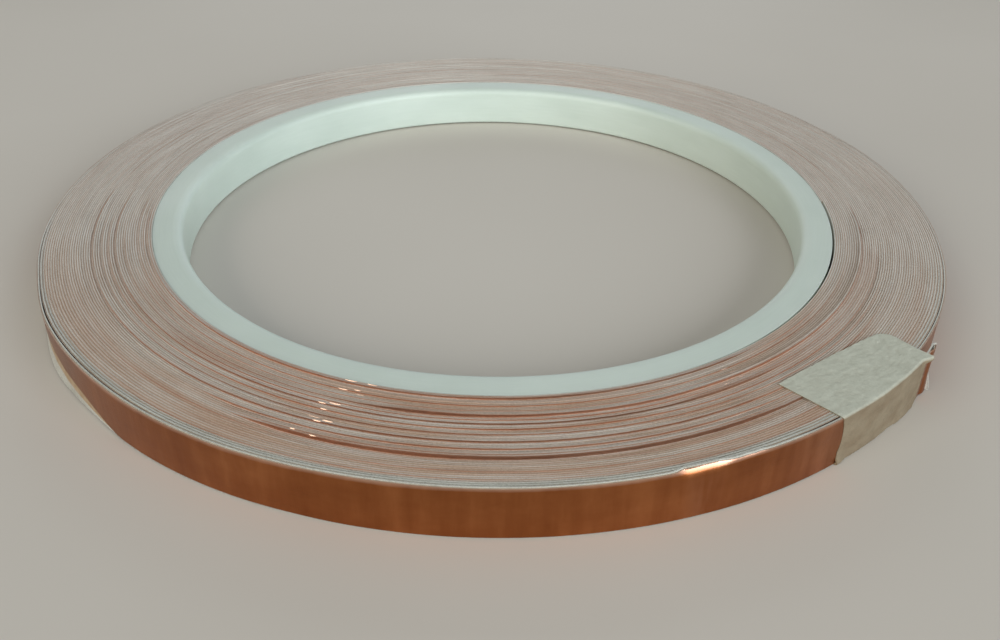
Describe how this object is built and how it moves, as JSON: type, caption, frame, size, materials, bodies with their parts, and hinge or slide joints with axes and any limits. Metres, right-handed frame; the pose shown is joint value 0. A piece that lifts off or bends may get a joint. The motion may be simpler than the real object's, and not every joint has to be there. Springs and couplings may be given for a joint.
{
  "type": "copper foil tape roll",
  "caption": "Flat roll of narrow self-adhesive copper foil tape with a paper release liner, wound on a plastic core and held shut by a masking-tape tab.",
  "frame": {"origin": "centre of the core's bore, at half the width of the tape", "axes": "+Z along the bore's axis and out of the wound face that carries the tab's longer flap; the tab and the loose end lie in the quarter between +X and -Y"},
  "size_m": [0.1076, 0.1078, 0.0058],
  "materials": {
    "core": "satin",
    "liner": "matte",
    "foil_glue": "satin",
    "copper": "satin",
    "crepe_paper": "matte",
    "tab_glue": "satin"
  },
  "bodies": {
    "roll": {"core_ring": "core", "release_liner": "liner", "foil_adhesive": "foil_glue", "copper_foil": "copper", "tab_side_adhesive": "tab_glue", "tab_side_paper": "crepe_paper", "tab_under_adhesive": "tab_glue", "tab_under_paper": "crepe_paper"},
    "tab_flap": {"tab_top_adhesive": "tab_glue", "tab_top_paper": "crepe_paper"},
    "liner_end": {"liner_tail": "liner"},
    "foil_end": {"adhesive_tail": "foil_glue", "foil_tail": "copper"}
  },
  "joints": [
    {"name": "tab_peel", "type": "hinge", "parent": "roll", "child": "tab_flap", "pos_m": [0.03807, -0.03948, 0.00293], "axis": [0.7401, 0.6725, 0], "range_deg": [0, 170]},
    {"name": "tail_lift", "type": "hinge", "parent": "roll", "child": "liner_end", "pos_m": [0.04384, -0.03313, 0], "axis": [0, 0, -1], "range_deg": [0, 60]},
    {"name": "foil_peel", "type": "hinge", "parent": "liner_end", "child": "foil_end", "pos_m": [0.04384, -0.03313, 0], "axis": [0, 0, -1], "range_deg": [0, 60]}
  ]
}
